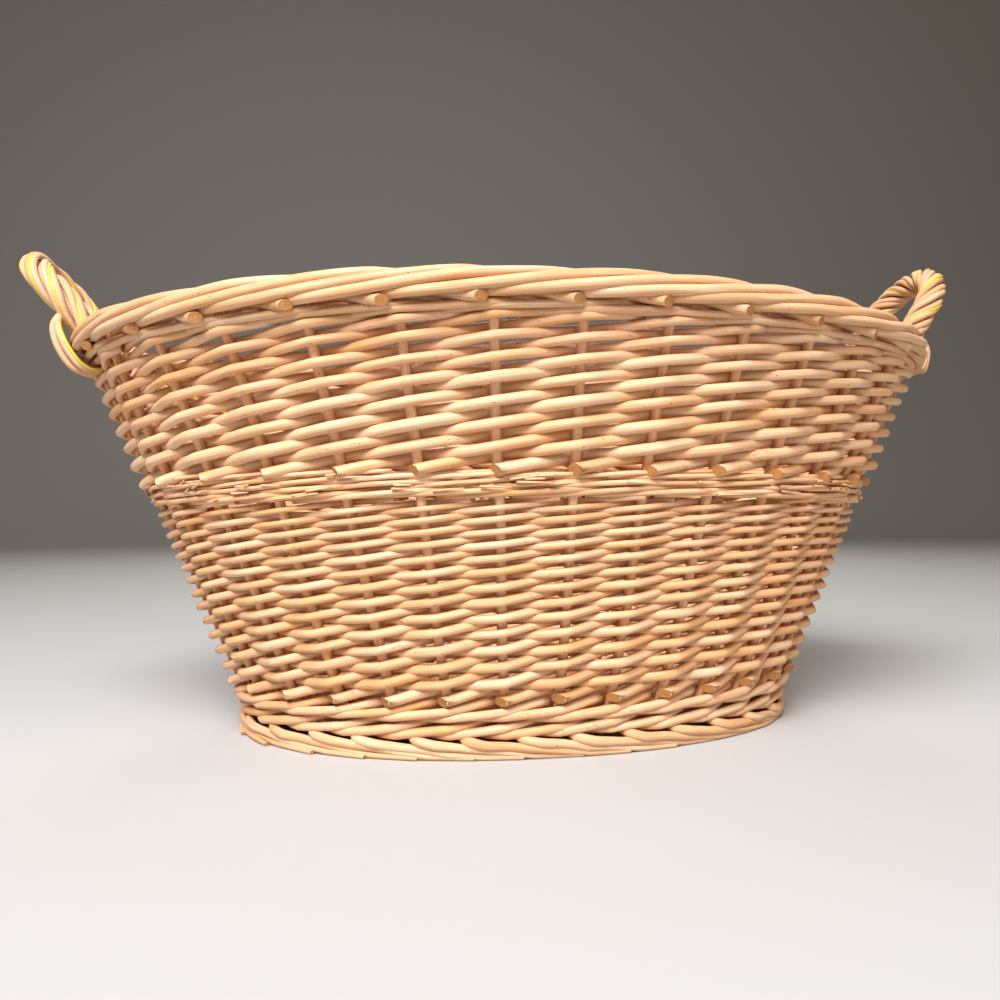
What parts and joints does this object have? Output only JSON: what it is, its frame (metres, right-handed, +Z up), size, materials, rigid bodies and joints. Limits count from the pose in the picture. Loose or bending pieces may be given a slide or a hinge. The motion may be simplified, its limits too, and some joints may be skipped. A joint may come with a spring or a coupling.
{
  "type": "log basket",
  "caption": "Oval woven willow log basket with flared sides, a thick plaited rim border, a raised woven floor and a rope-twisted loop handle at each end.",
  "frame": {"origin": "on the ground under the middle of the basket", "axes": "+X along the length towards one handle, +Y across, +Z up out of the mouth; the broad front faces -Y"},
  "size_m": [0.6659, 0.392, 0.3348],
  "materials": {
    "siding_willow": "satin buff willow, woven",
    "stake_willow": "satin buff willow",
    "thick_willow": "satin buff willow, thicker and browner rods",
    "base_willow": "matte buff willow",
    "yellow_twine": "bright yellow plastic twine"
  },
  "bodies": {
    "root": {"base_weave": "base_willow", "foot_border": "thick_willow", "left_handle_bow": "thick_willow", "left_handle_twine": "yellow_twine", "left_handle_wrap": "siding_willow", "long_base_stick_1": "base_willow", "long_base_stick_2": "base_willow", "long_base_stick_3": "base_willow", "lower_siding": "siding_willow", "middle_wale": "siding_willow", "right_handle_bow": "thick_willow", "right_handle_twine": "yellow_twine", "right_handle_wrap": "siding_willow", "rim_border": "thick_willow", "short_base_stick_1": "base_willow", "short_base_stick_2": "base_willow", "short_base_stick_3": "base_willow", "short_base_stick_4": "base_willow", "short_base_stick_5": "base_willow", "short_base_stick_6": "base_willow", "short_base_stick_7": "base_willow", "short_base_stick_8": "base_willow", "stake_01": "stake_willow", "stake_02": "stake_willow", "stake_03": "stake_willow", "stake_04": "stake_willow", "stake_05": "stake_willow", "stake_06": "stake_willow", "stake_07": "stake_willow", "stake_08": "stake_willow", "stake_09": "stake_willow", "stake_10": "stake_willow", "stake_11": "stake_willow", "stake_12": "stake_willow", "stake_13": "stake_willow", "stake_14": "stake_willow", "stake_15": "stake_willow", "stake_16": "stake_willow", "stake_17": "stake_willow", "stake_18": "stake_willow", "stake_19": "stake_willow", "stake_20": "stake_willow", "stake_21": "stake_willow", "stake_22": "stake_willow", "stake_23": "stake_willow", "stake_24": "stake_willow", "stake_25": "stake_willow", "stake_26": "stake_willow", "stake_27": "stake_willow", "stake_28": "stake_willow", "stake_29": "stake_willow", "stake_30": "stake_willow", "top_wale": "thick_willow", "upper_siding": "siding_willow", "upsett_wale": "siding_willow"}
  },
  "joints": []
}
